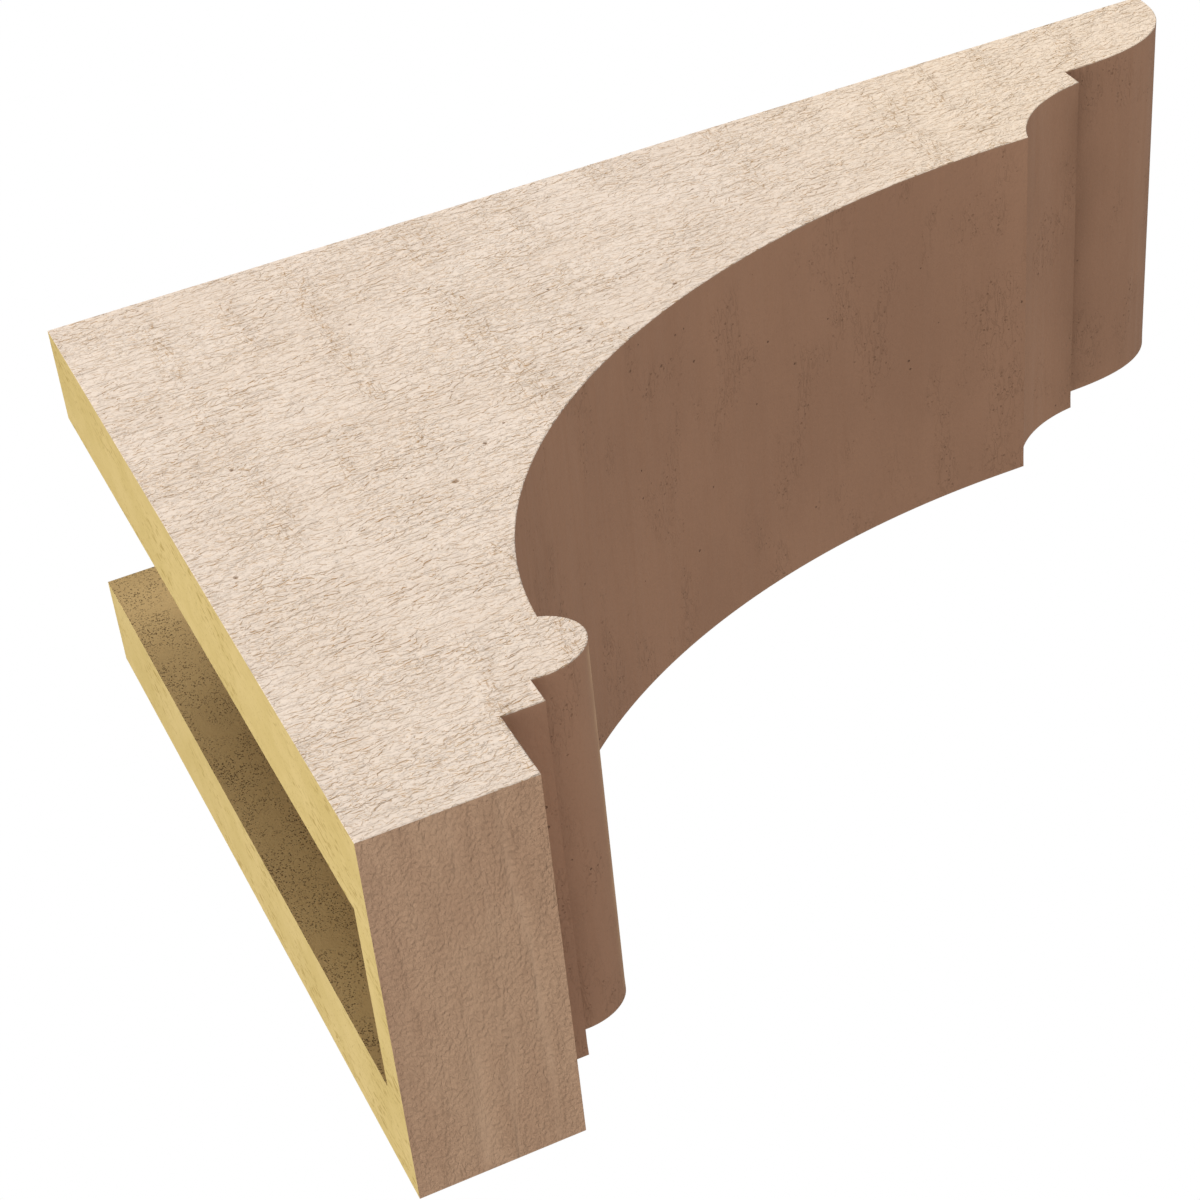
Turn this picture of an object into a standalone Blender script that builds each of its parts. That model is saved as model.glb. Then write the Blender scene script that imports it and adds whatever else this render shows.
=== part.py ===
"""A large architectural corbel: a moulded, hollow, wall-hung bracket with a plain stepped
foot, a bead, one long sweeping curve, a cove and a rounded nose.

It hangs on a wall by its open back. X is the width, the back face lies in the plane
y = 0, the corbel stands out along -Y, and +Z is up. The origin is on the back face, in
the middle of the strip of rim below the hollow.

The side outline is drawn by two measures: "out", the distance from the wall, and "down",
the depth below the top edge.
"""
import math

import bmesh
import bpy

INCH = 0.0254

# Overall size
WIDTH = 8.0 * INCH
REACH = 24.0 * INCH
HEIGHT = 16.0 * INCH

# Walls of the hollow
SIDE_WALL = 2.0 * INCH
SHELL = 0.75 * INCH

# Stepped foot, at the bottom of the back
FOOT_OUT = 3.0 * INCH
FOOT_RISE = 1.5 * INCH
STEP_OUT = 0.75 * INCH
STEP_RISE = 0.5 * INCH

# Half-round bead over the foot
BEAD_CENTRE = (4.0 * INCH, 13.2 * INCH)
BEAD_HALF = (1.01 * INCH, 0.745 * INCH)
BEAD_TOP_ANGLE = math.radians(-62.0)
BEAD_STEPS = 14

# Long sweep: a quarter of an ellipse, standing on the bead and ending level
SWEEP_CENTRE = (18.34 * INCH, 13.01 * INCH)
SWEEP_HALF = (13.88 * INCH, 9.21 * INCH)
SWEEP_STEPS = 40

# Cove in front of the sweep
COVE_CENTRE = (21.32 * INCH, 4.20 * INCH)
COVE_HALF = (2.40 * INCH, 1.74 * INCH)
COVE_STEPS = 10

# Rounded nose, a squarish quarter round that meets the top at the full reach
NOSE_OUT = 21.0 * INCH
NOSE_DEPTH = 1.953 * INCH
NOSE_POWER = 2.75
NOSE_STEPS = 16

# How far the cutter of the hollow runs past the back and the top
CLEAR = 0.5 * INCH
# Points closer than this are one point
WELD = 0.00002


def ellipse_arc(centre, half, start, end, steps):
    """Points of an ellipse from one angle to another; angle 90 degrees is straight down."""
    turns = [start + (end - start) * i / steps for i in range(steps + 1)]
    return [(centre[0] + half[0] * math.cos(t), centre[1] + half[1] * math.sin(t)) for t in turns]


def angle_at_out(centre, half, out):
    """The angle at which the upper, wall-side quarter of an ellipse is at this distance out."""
    return math.pi + math.acos((centre[0] - out) / half[0])


def angle_at_down(centre, half, down):
    """The angle at which the upper, wall-side quarter of an ellipse is at this depth."""
    return math.pi + math.asin((centre[1] - down) / half[1])


def nose_curve(inset):
    """The squarish quarter round of the nose, from its underside to the top edge."""
    reach, depth = REACH - NOSE_OUT, NOSE_DEPTH - inset
    points = []
    for i in range(NOSE_STEPS + 1):
        turn = math.pi / 2 * (1 - i / NOSE_STEPS)
        out = reach * max(math.cos(turn), 0.0) ** (2 / NOSE_POWER)
        points.append((NOSE_OUT - inset + out, depth * max(math.sin(turn), 0.0) ** (2 / NOSE_POWER)))
    return points


def front_curves(inset):
    """Sweep, cove and nose as one run of points; inset draws the same run inside the shell."""
    sweep_half = (SWEEP_HALF[0] + inset, SWEEP_HALF[1] + inset)
    cove_half = (COVE_HALF[0] + inset, COVE_HALF[1] + inset)
    flat_down = SWEEP_CENTRE[1] - sweep_half[1]
    bead_top = BEAD_CENTRE[1] + BEAD_HALF[1] * math.sin(BEAD_TOP_ANGLE)
    start = math.pi if inset else angle_at_down(SWEEP_CENTRE, sweep_half, bead_top)
    cove_start = angle_at_down(COVE_CENTRE, cove_half, flat_down)
    cove_end = angle_at_out(COVE_CENTRE, cove_half, NOSE_OUT - inset)
    points = ellipse_arc(SWEEP_CENTRE, sweep_half, start, math.pi * 1.5, SWEEP_STEPS)
    points += ellipse_arc(COVE_CENTRE, cove_half, cove_start, cove_end, COVE_STEPS)
    return points + nose_curve(inset)


def corbel_outline():
    """The whole outer outline, from the top of the back round by the foot to the nose."""
    step_out = FOOT_OUT + STEP_OUT
    foot_top = HEIGHT - FOOT_RISE
    bead_start = math.acos((step_out - BEAD_CENTRE[0]) / BEAD_HALF[0])
    foot = [(0.0, 0.0), (0.0, HEIGHT), (FOOT_OUT, HEIGHT), (FOOT_OUT, foot_top), (step_out, foot_top)]
    foot.append((step_out, foot_top - STEP_RISE))
    bead = ellipse_arc(BEAD_CENTRE, BEAD_HALF, bead_start, BEAD_TOP_ANGLE, BEAD_STEPS)
    return foot + bead + front_curves(0.0)


def hollow_outline():
    """The outline of the hollow: one shell thickness inside, and past the back and the top."""
    floor = HEIGHT - SHELL
    foot_out = FOOT_OUT - SHELL
    ledge = HEIGHT - FOOT_RISE - STEP_RISE - SHELL
    curves = front_curves(SHELL)
    low = [(-CLEAR, -CLEAR), (-CLEAR, floor), (foot_out, floor), (foot_out, ledge), (curves[0][0], ledge)]
    return low + curves + [(curves[-1][0], -CLEAR)]


def collection(name):
    made = bpy.data.collections.new(name)
    bpy.context.scene.collection.children.link(made)
    return made


def material(name, colour, roughness):
    made = bpy.data.materials.new(name)
    made.use_nodes = True
    shader = made.node_tree.nodes["Principled BSDF"]
    shader.inputs["Base Color"].default_value = (*colour, 1.0)
    shader.inputs["Roughness"].default_value = roughness
    shader.inputs["Metallic"].default_value = 0.0
    return made


def slab(name, outline, thickness, into):
    """A flat outline given a thickness along X, standing against the wall plane."""
    curve = bpy.data.curves.new(name + " outline", "CURVE")
    curve.dimensions = "2D"
    curve.fill_mode = "BOTH"
    curve.extrude = thickness / 2
    spline = curve.splines.new("POLY")
    spline.points.add(len(outline) - 1)
    top = HEIGHT - SHELL / 2
    for point, (out, down) in zip(spline.points, outline):
        point.co = (out, top - down, 0.0, 1.0)
    spline.use_cyclic_u = True
    drawn = bpy.data.objects.new(name + " outline", curve)
    drawn.rotation_euler = (math.pi / 2, 0.0, -math.pi / 2)
    into.objects.link(drawn)
    bpy.context.view_layer.update()

    evaluated = drawn.evaluated_get(bpy.context.evaluated_depsgraph_get())
    mesh = bpy.data.meshes.new_from_object(evaluated)
    mesh.name = name
    work = bmesh.new()
    work.from_mesh(mesh)
    bmesh.ops.remove_doubles(work, verts=work.verts, dist=WELD)
    bmesh.ops.recalc_face_normals(work, faces=work.faces)
    work.to_mesh(mesh)
    work.free()
    made = bpy.data.objects.new(name, mesh)
    made.matrix_world = drawn.matrix_world.copy()
    into.objects.link(made)
    bpy.data.objects.remove(drawn)
    return made


def main():
    for thing in list(bpy.data.objects):
        bpy.data.objects.remove(thing)
    parts = collection("corbel")
    cutters = collection("corbel cutters")

    corbel = slab("corbel", corbel_outline(), WIDTH, parts)
    hollow = slab("hollow", hollow_outline(), WIDTH - 2 * SIDE_WALL, cutters)
    hollow.hide_render = True
    hollow.display_type = "WIRE"

    cut = corbel.modifiers.new("hollow", "BOOLEAN")
    cut.operation = "DIFFERENCE"
    cut.solver = "EXACT"
    cut.object = hollow

    corbel.data.materials.clear()
    corbel.data.materials.append(material("primed tan foam", (0.66, 0.49, 0.37), 0.75))
    corbel.data.shade_smooth()
    corbel.data.set_sharp_from_angle(angle=math.radians(30.0))
    bpy.context.view_layer.update()


main()
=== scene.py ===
# %% [markdown]
# # Dressing a moulded corbel so that it looks rough sawn
#
# The real object is a big wall corbel, moulded in one piece from rigid foam and sprayed with a
# tan primer. Its mould was taken from rough sawn timber, so the two flat sides carry fine saw
# ripples, cross bands where the saw chattered, and a few pits. The faces of the profile are
# smoother. The primer is one colour all over, but here the sides are painted paler, for the light
# that falls on them, and the faces of the profile browner and darker, for the shade they lie in.
# The back, which goes against the wall, is raw yellow foam, and so is the hollow behind it, painted
# darker for the shade inside.
#
# The imported model comes in first as a fixed frame. Its plain solid gives the place and the size
# of everything made here.

# %% Load the frame
import math
from functools import partial

import bmesh
import bpy
import numpy as np
from mathutils import Euler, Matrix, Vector
from mathutils.geometry import delaunay_2d_cdt


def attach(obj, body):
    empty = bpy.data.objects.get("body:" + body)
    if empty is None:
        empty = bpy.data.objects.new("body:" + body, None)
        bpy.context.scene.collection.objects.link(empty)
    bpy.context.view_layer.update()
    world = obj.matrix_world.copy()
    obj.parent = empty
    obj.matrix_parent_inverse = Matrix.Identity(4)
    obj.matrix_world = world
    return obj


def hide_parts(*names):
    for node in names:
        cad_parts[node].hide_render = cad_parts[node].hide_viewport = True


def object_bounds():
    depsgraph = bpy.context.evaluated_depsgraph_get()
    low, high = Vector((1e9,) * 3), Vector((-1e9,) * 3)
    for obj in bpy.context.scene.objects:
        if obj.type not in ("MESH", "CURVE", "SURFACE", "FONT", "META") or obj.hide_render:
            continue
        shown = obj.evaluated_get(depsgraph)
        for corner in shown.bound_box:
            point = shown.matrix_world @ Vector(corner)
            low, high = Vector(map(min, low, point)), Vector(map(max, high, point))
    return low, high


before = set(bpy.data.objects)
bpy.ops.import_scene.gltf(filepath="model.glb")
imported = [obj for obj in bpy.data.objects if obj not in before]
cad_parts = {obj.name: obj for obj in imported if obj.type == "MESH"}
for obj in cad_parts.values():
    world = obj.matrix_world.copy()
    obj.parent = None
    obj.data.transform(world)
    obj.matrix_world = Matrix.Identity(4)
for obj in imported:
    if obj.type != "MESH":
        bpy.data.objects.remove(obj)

CAD_LOW, CAD_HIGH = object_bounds()
print("nodes:", sorted(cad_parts), "size in mm:", [round(v * 1000, 1) for v in CAD_HIGH - CAD_LOW])

# %% [markdown]
# ## The outline
#
# Seen from the side, the corbel is one outline. It could be traced point by point, but a moulding
# is drawn with a few arcs, so each stretch here is a straight line or a part of an ellipse with
# its real size. Places on the outline are given as "out", the distance from the wall, and "down",
# the depth below the top. Width, reach and height come from the frame.

# %% Driving sizes
INCH = 0.0254
MM = 0.001
WIDTH = CAD_HIGH.x - CAD_LOW.x
REACH = CAD_HIGH.y - CAD_LOW.y
HEIGHT = CAD_HIGH.z - CAD_LOW.z
TOP = CAD_HIGH.z
SIDE_WALL = 2.0 * INCH
SHELL = 0.75 * INCH
FOOT_OUT, FOOT_RISE = 3.0 * INCH, 1.5 * INCH
STEP_OUT, STEP_RISE = 0.75 * INCH, 0.5 * INCH
BEAD_CENTRE, BEAD_HALF = (4.0 * INCH, 13.2 * INCH), (1.01 * INCH, 0.745 * INCH)
BEAD_TOP_ANGLE = math.radians(-62.0)
SWEEP_CENTRE, SWEEP_HALF = (18.34 * INCH, 13.01 * INCH), (13.88 * INCH, 9.21 * INCH)
COVE_CENTRE, COVE_HALF = (21.32 * INCH, 4.20 * INCH), (2.40 * INCH, 1.74 * INCH)
NOSE_OUT, NOSE_DEPTH, NOSE_POWER = 21.0 * INCH, 1.953 * INCH, 2.75
ARRIS = 0.35 * MM
print("width, reach, height in mm:", [round(v / MM, 1) for v in (WIDTH, REACH, HEIGHT)])

# %% Arcs and straight runs
ARC_STEPS = 600


def line(start, end):
    return np.array([start, end], float)


def ellipse(centre, half, start, end):
    """Part of an ellipse; an angle of 90 degrees is straight down."""
    turn = np.linspace(start, end, ARC_STEPS)
    return np.stack([centre[0] + half[0] * np.cos(turn), centre[1] + half[1] * np.sin(turn)], 1)


def nose(inset):
    """The squarish quarter round, from its underside to the top edge."""
    turn = np.linspace(math.pi / 2, 0.0, ARC_STEPS)
    power = 2 / NOSE_POWER
    out = NOSE_OUT - inset + (REACH - NOSE_OUT) * np.clip(np.cos(turn), 0, 1) ** power
    down = (NOSE_DEPTH - inset) * np.clip(np.sin(turn), 0, 1) ** power
    return np.stack([out, down], 1)


def front_runs(inset):
    """Sweep, its level end, cove, riser and nose; inset draws them inside the shell."""
    sweep_half = (SWEEP_HALF[0] + inset, SWEEP_HALF[1] + inset)
    cove_half = (COVE_HALF[0] + inset, COVE_HALF[1] + inset)
    level = SWEEP_CENTRE[1] - sweep_half[1]
    bead_top = BEAD_CENTRE[1] + BEAD_HALF[1] * math.sin(BEAD_TOP_ANGLE)
    start = math.pi if inset else math.pi + math.asin((SWEEP_CENTRE[1] - bead_top) / sweep_half[1])
    cove_start = math.pi + math.asin((COVE_CENTRE[1] - level) / cove_half[1])
    cove_end = math.pi + math.acos((COVE_CENTRE[0] - NOSE_OUT + inset) / cove_half[0])
    sweep = ellipse(SWEEP_CENTRE, sweep_half, start, math.pi * 1.5)
    cove = ellipse(COVE_CENTRE, cove_half, cove_start, cove_end)
    tip = nose(inset)
    return [("sweep", sweep), ("level", line(sweep[-1], cove[0])), ("cove", cove),
            ("riser", line(cove[-1], tip[0])), ("nose", tip)]


def profile_runs():
    """The moulded faces, from the bottom of the back to the tip of the nose."""
    step_out = FOOT_OUT + STEP_OUT
    foot_top = HEIGHT - FOOT_RISE
    bead_start = math.acos((step_out - BEAD_CENTRE[0]) / BEAD_HALF[0])
    bead = ellipse(BEAD_CENTRE, BEAD_HALF, bead_start, BEAD_TOP_ANGLE)
    front = front_runs(0.0)
    front[0][1][0] = bead[-1]
    return [("bottom", line((0, HEIGHT), (FOOT_OUT, HEIGHT))),
            ("foot", line((FOOT_OUT, HEIGHT), (FOOT_OUT, foot_top))),
            ("step", line((FOOT_OUT, foot_top), (step_out, foot_top))),
            ("step", line((step_out, foot_top), bead[0])), ("bead", bead)] + front


def hollow_runs():
    """The inside of the shell, from the back rim to the top rim."""
    floor, foot_out = HEIGHT - SHELL, FOOT_OUT - SHELL
    ledge = HEIGHT - FOOT_RISE - STEP_RISE - SHELL
    front = front_runs(SHELL)
    start = front[0][1][0]
    return [("floor", line((0, floor), (foot_out, floor))),
            ("foot", line((foot_out, floor), (foot_out, ledge))),
            ("ledge", line((foot_out, ledge), (start[0], ledge))),
            ("rise", line((start[0], ledge), start))] + front


print("moulded runs:", [name for name, run in profile_runs()])

# %% [markdown]
# ## Even steps along a run
#
# A mesh that is going to be dented needs points close together, and two faces that meet must
# have the same points on their common edge. So every run is walked in even steps by one helper,
# and faces that share a run share its points.

# %% Walking a run
def walk(run, step):
    """Points along a run, ends included, no further apart than step."""
    gaps = np.hypot(*np.diff(run, axis=0).T)
    along = np.concatenate([[0], np.cumsum(gaps)])
    count = max(1, math.ceil(along[-1] / step - 1e-6))
    at = np.linspace(0, along[-1], count + 1)
    return np.stack([np.interp(at, along, run[:, k]) for k in (0, 1)], 1)


def chain(runs, step):
    """Runs joined end to end as (points, name of the run that leaves each point)."""
    points, names = [], []
    for name, run in runs:
        walked = walk(run, step)
        points.append(walked[:-1])
        names += [name] * (len(walked) - 1)
    points.append(runs[-1][1][-1:])
    return np.concatenate(points), names


PROFILE_STEP = 2.2 * MM
EDGE_STEP = 2.4 * MM
profile, profile_names = chain(profile_runs(), PROFILE_STEP)
back_edge = walk(line((0, 0), (0, HEIGHT)), EDGE_STEP)
top_edge = walk(line((REACH, 0), (0, 0)), EDGE_STEP)
ring = np.concatenate([back_edge[:-1], profile[:-1], top_edge[:-1]])
print("points round the side:", len(ring), "of them on the profile:", len(profile))

# %% [markdown]
# ## Random hills
#
# Saw marks are random, but they must come out the same each time. A table of seeded numbers,
# smoothly blended, gives rolling hills. Stretching the hills one way makes grain, and bending
# their coordinates by other hills makes the grain wander.

# %% Hills and grain
TABLE = 256


def hills(u, v, seed):
    """Smooth hills between -1 and 1; one unit of u or v is about one hill."""
    table = np.random.default_rng(seed).uniform(-1, 1, (TABLE, TABLE))
    i, j = np.floor(u).astype(int), np.floor(v).astype(int)
    s, t = u - i, v - j
    s, t = s * s * (3 - 2 * s), t * t * (3 - 2 * t)
    i, j = i % TABLE, j % TABLE
    i2, j2 = (i + 1) % TABLE, (j + 1) % TABLE
    low = table[i, j] * (1 - s) + table[i2, j] * s
    high = table[i, j2] * (1 - s) + table[i2, j2] * s
    return low * (1 - t) + high * t


def waves(u, v, long, broad, seed):
    """Hills with their length and breadth in millimetres, at places in metres."""
    return hills(u / (long * MM), v / (broad * MM), seed)


def soft_step(low, high, value):
    t = np.clip((value - low) / (high - low), 0, 1)
    return t * t * (3 - 2 * t)


sample = hills(np.linspace(0, 40, 4000), np.linspace(0, 9, 4000), 1)
print("hills run from", round(sample.min(), 2), "to", round(sample.max(), 2))

# %% [markdown]
# ## How deep the saw cut
#
# On a sawn face torn fibres lie along the cut as short creases, and the casting copies them.
# Creases are found where rolling hills cross their middle height: the hills are first bent by
# other hills, so the creases wander and break. Where the blade chattered there are bands across
# the face in which the creases are deeper and turn crosswise. All of it goes into the surface and
# never out of it, so that the corbel keeps its size.

# %% Saw marks
CREASE_LONG, CREASE_APART = 6.0 * MM, 2.7 * MM
CHATTER_BANDS = ((44, 9), (81, 7), (117, 10), (178, 13), (232, 8), (281, 12), (349, 15), (397, 7), (438, 13),
                 (467, 8), (500, 10), (548, 9))
# Depths of what the saw leaves, in millimetres
ALL_OVER, SWELL, LINES, GROOVES, TEARS, CROSSWISE = 0.14, 0.06, 0.12, 0.13, 0.18, 0.14
PIT_DEEP, DEEPEST = 0.8, 1.2
PITS, PIT_HALF = 44, 1.5 * MM


def chatter(out, down, seed):
    """(how rough each place is, how much of that is a cross band)."""
    wander = 4 * MM * hills(down / (40 * MM), out * 0 + 3, seed)
    rough = 0.5 + 0.45 * waves(out, down, 30, 17, seed + 1)
    band = np.zeros_like(out)
    for place, breadth in CHATTER_BANDS:
        off = (out + wander - place * MM) / (breadth * MM * 0.7)
        present = soft_step(-0.45, 0.4, hills(down / (30 * MM), np.full_like(down, place), seed + 2))
        band = np.maximum(band, np.exp(-off ** 2) * present)
    return np.clip(rough + 0.45 * band, 0.1, 1.1), band


def folds(u, v, long, apart, width, seed):
    """Sharp valleys where hills cross their middle, 1 at the bottom and 0 from the given width on."""
    return 1 - np.clip(np.abs(hills(u / long, v / apart, seed)) / width, 0, 1)


def pits(seed):
    """Small holes scattered over a side, as rows of (out, down, half length, half height)."""
    rng = np.random.default_rng(seed)
    half = rng.uniform(0.5, 1.0, (PITS, 1)) ** 2 * PIT_HALF
    middle = rng.uniform((0, 0), (REACH, HEIGHT), (PITS, 2))
    return np.hstack([middle, half * rng.uniform(1.0, 1.9, (PITS, 1)), half])


def hole_depth(out, down, seed):
    """How far down in a pit each place is, from 0 to 1, with a crisp lip."""
    hole = np.zeros_like(out)
    for at_out, at_down, long, high in pits(seed):
        far = np.hypot((out - at_out) / long, (down - at_down) / high)
        hole = np.maximum(hole, soft_step(1.0, 0.4, far))
    return hole


def saw_marks(out, down, seed):
    """(depth in metres, darkening of the deep places, roughness and band, each from 0 to 1) of the sawn side.
    """
    rough, band = chatter(out, down, seed)
    u = out + 2.2 * MM * waves(out, down, 8, 5, seed + 3)
    v = down + 1.1 * MM * waves(out, down, 6, 4, seed + 4)
    lines = folds(u, v, CREASE_LONG, CREASE_APART, 0.45, seed + 5)
    grooves = folds(u, v, 30 * MM, 3.4 * MM, 0.18, seed + 10)
    grooves *= soft_step(-0.2, 0.5, waves(out, down, 24, 12, seed + 11))
    tears = folds(u, v, 8 * MM, 5 * MM, 0.14, seed + 6)
    tears *= soft_step(0.0, 0.6, waves(out, down, 9, 6, seed + 12))
    across = folds(u, v, 3.0 * MM, 6 * MM, 0.35, seed + 7) * band
    swell = waves(u, v, 9, 3.6, seed + 8)
    hole = hole_depth(out, down, seed + 9)
    depth = ALL_OVER + SWELL * swell + LINES * lines * (0.4 + 0.6 * rough) + GROOVES * grooves
    depth += TEARS * tears * rough + CROSSWISE * across + PIT_DEEP * hole
    deep_dark_and_shade = np.clip(0.35 * soft_step(0.35, 1.0, tears) * soft_step(0.3, 1.0, rough) + hole, 0, 1)
    return np.clip(depth, 0.0, DEEPEST) * MM, deep_dark_and_shade, np.clip(rough, 0, 1), band


sample_out = np.linspace(0, REACH, 3000)
depths = saw_marks(sample_out, np.full_like(sample_out, HEIGHT * 0.1), 11)[0]
print("saw marks from", round(depths.min() / MM, 2), "to", round(depths.max() / MM, 2), "mm deep")

# %% [markdown]
# ## Filling a flat face with points
#
# A flat face with a curved edge could be cut from a grid, but that leaves a ragged rim. Blender's
# Delaunay triangulation takes the edge as it is and any points inside it, and joins them all
# with well shaped triangles. Stretching the face before and squeezing it back after gives
# points that lie closer across the saw ripples than along them. Round a pit the even points
# give way to a few rings of points, so that its lip comes out round.

# %% Triangles inside an edge
PIT_RINGS = ((0.0, 1), (0.55, 7), (1.0, 10), (1.5, 12))
PIT_MARGIN, PIT_FROM_EDGE = 0.8 * MM, 6 * MM
CLEAR_OF_EDGE = 0.55
AT_ONCE = 4000
SAME_POINT, NO_AREA = 1e-9, 1e-10


def inside(points, edge):
    """Which points lie inside a closed edge."""
    start, end = edge, np.roll(edge, -1, axis=0)
    found = np.zeros(len(points), bool)
    for (u0, v0), (u1, v1) in zip(start, end):
        if v0 == v1:
            continue
        spans = (points[:, 1] < v0) != (points[:, 1] < v1)
        crossing = u0 + (points[:, 1] - v0) / (v1 - v0) * (u1 - u0)
        found ^= spans & (points[:, 0] < crossing)
    return found


def edge_distance(points, edge):
    """How far each point is from the nearest point of an edge."""
    near = np.empty(len(points))
    for i in range(0, len(points), AT_ONCE):
        gap = points[i:i + AT_ONCE, None, :] - edge[None, :, :]
        near[i:i + AT_ONCE] = np.sqrt((gap ** 2).sum(2).min(1))
    return near


def dents(holes, edge):
    """Rings of points for the holes that lie well inside an edge, and the holes themselves."""
    kept = holes[inside(holes[:, :2], edge) & (edge_distance(holes[:, :2], edge) > PIT_FROM_EDGE)]
    rings = []
    for far, count in PIT_RINGS:
        turn = np.arange(count) * math.tau / count
        around = far * np.stack([np.cos(turn), np.sin(turn)], 1)
        rings.append((kept[:, None, :2] + kept[:, None, 2:] * around).reshape(-1, 2))
    return np.concatenate(rings), kept


def fill(edge, spacing, holes=None):
    """Points and triangles of a flat face: its edge first, then points on a staggered grid."""
    squeeze = np.array([spacing[1] / spacing[0], 1.0])
    low, high = edge.min(0) + np.array(spacing) / 2, edge.max(0)
    u, v = np.meshgrid(np.arange(low[0], high[0], spacing[0]), np.arange(low[1], high[1], spacing[1]))
    u = u + (np.arange(len(u)) % 2)[:, None] * spacing[0] / 2
    grid = np.stack([u.ravel(), v.ravel()], 1)
    grid = grid[inside(grid, edge)]
    close = walk(np.concatenate([edge, edge[:1]]) * squeeze, spacing[1] / 2)
    grid = grid[edge_distance(grid * squeeze, close) > CLEAR_OF_EDGE * spacing[1]]
    if holes is not None:
        rings, kept = dents(holes, edge)
        for hole in kept:
            far = np.hypot(*((grid - hole[:2]) / (hole[2:] + PIT_MARGIN)).T)
            grid = grid[far > PIT_RINGS[-1][0]]
        grid = np.concatenate([grid, rings])
    points = np.concatenate([edge, grid])
    rim = [(i, (i + 1) % len(edge)) for i in range(len(edge))]
    flat = [Vector(p) for p in (points * squeeze).tolist()]
    made = delaunay_2d_cdt(flat, rim, [], 0, SAME_POINT, True)
    points = points[np.array([came_from[0] for came_from in made[3]])]
    triangles = np.array(made[2])
    a, b, c = (points[triangles[:, k]] for k in range(3))
    wide = np.abs((b - a)[:, 0] * (c - a)[:, 1] - (b - a)[:, 1] * (c - a)[:, 0]) > NO_AREA
    return points, triangles[wide & inside((a + b + c) / 3, edge)]


test_points, test_triangles = fill(ring, (20 * MM, 8 * MM))
print("a coarse side has", len(test_points), "points and", len(test_triangles), "triangles")

# %% [markdown]
# ## Gathering the faces
#
# The corbel is one casting, so its skin is one closed mesh. Each face is made on its own, with a
# name that later picks its finish, and all of them are collected here. A filled face is first
# turned so that it looks out of the foam. Where two faces meet they have the same points, which
# are welded at the end.

# %% A place to collect faces
FINISHES = ("sawn", "moulded", "pebbled", "rim", "hollow")
KEPT_VALUES = ("deep_dark_and_shade", "wear", "rough", "band", "hollows_and_highlight")
skin = {"points": [], "faces": [], "finish": [], "count": 0, **{name: [] for name in KEPT_VALUES}}


def place(x, out, down):
    """A point of the corbel from its side measures."""
    return np.stack([np.broadcast_to(x, np.shape(out)), -np.asarray(out), TOP - np.asarray(down)], -1)


def add(points, faces, finish, *values):
    """Keeps a face's points, its polygons and, in their order, any of the kept values."""
    skin["points"].append(np.asarray(points, float))
    skin["faces"] += [tuple(i + skin["count"] for i in f) for f in faces]
    skin["finish"] += [FINISHES.index(finish)] * len(faces)
    for k, name in enumerate(KEPT_VALUES):
        skin[name].append(np.ravel(values[k]) if k < len(values) else np.zeros(len(points)))
    skin["count"] += len(points)


def facing(points, triangles, way):
    """The triangles as lists, turned over where they look away from a direction."""
    corner = points[triangles]
    looks = np.cross(corner[:, 1] - corner[:, 0], corner[:, 2] - corner[:, 0]) @ np.array(way, float)
    return np.where(looks[:, None] < 0, triangles[:, ::-1], triangles).tolist()


def grid_faces(rows, columns, flip):
    """The four-sided faces of a grid of points, row after row."""
    corners = [i * columns + j for i in range(rows - 1) for j in range(columns - 1)]
    faces = [(a, a + columns, a + columns + 1, a + 1) for a in corners]
    return [(a, d, c, b) for a, b, c, d in faces] if flip else faces


print("finishes:", FINISHES)

# %% [markdown]
# ## The two sawn sides
#
# A knife edge never shows on a painted moulding, so the side stops a third of a millimetre short of
# the outline and a narrow slope joins the two: that is the softened arris. The side itself is
# pushed in by the saw marks. The near side, which the picture looks at, has its points closest.

# %% Inward steps round an edge
def inward(edge):
    """Unit steps into the face at each point of a closed edge, longer at corners."""
    before = edge - np.roll(edge, 1, axis=0)
    after = np.roll(edge, -1, axis=0) - edge
    turned = []
    for part in (before, after):
        length = np.hypot(*part.T)[:, None]
        turned.append(np.stack([part[:, 1], -part[:, 0]], 1) / length)
    both = turned[0] + turned[1]
    step = both / np.hypot(*both.T)[:, None]
    cosine = np.clip((step * turned[0]).sum(1), 0.5, 1.0)
    return step / cosine[:, None]


def area_inside(edge):
    """The area inside a closed edge, below 0 if the edge runs the other way round."""
    after = np.roll(edge, -1, axis=0)
    return 0.5 * np.sum(edge[:, 0] * after[:, 1] - after[:, 0] * edge[:, 1])


area = area_inside(ring)
INTO = inward(ring) * (-1 if area > 0 else 1)
shrunk = ring + INTO * ARRIS
print("area of a side in square cm, and inside the arris:",
      [round(abs(area_inside(edge)) * 1e4, 1) for edge in (ring, shrunk)])

# %% Make both sides
NEAR_SPACING = (1.7 * MM, 1.2 * MM)
FAR_SPACING = (2.8 * MM, 1.9 * MM)


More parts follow.
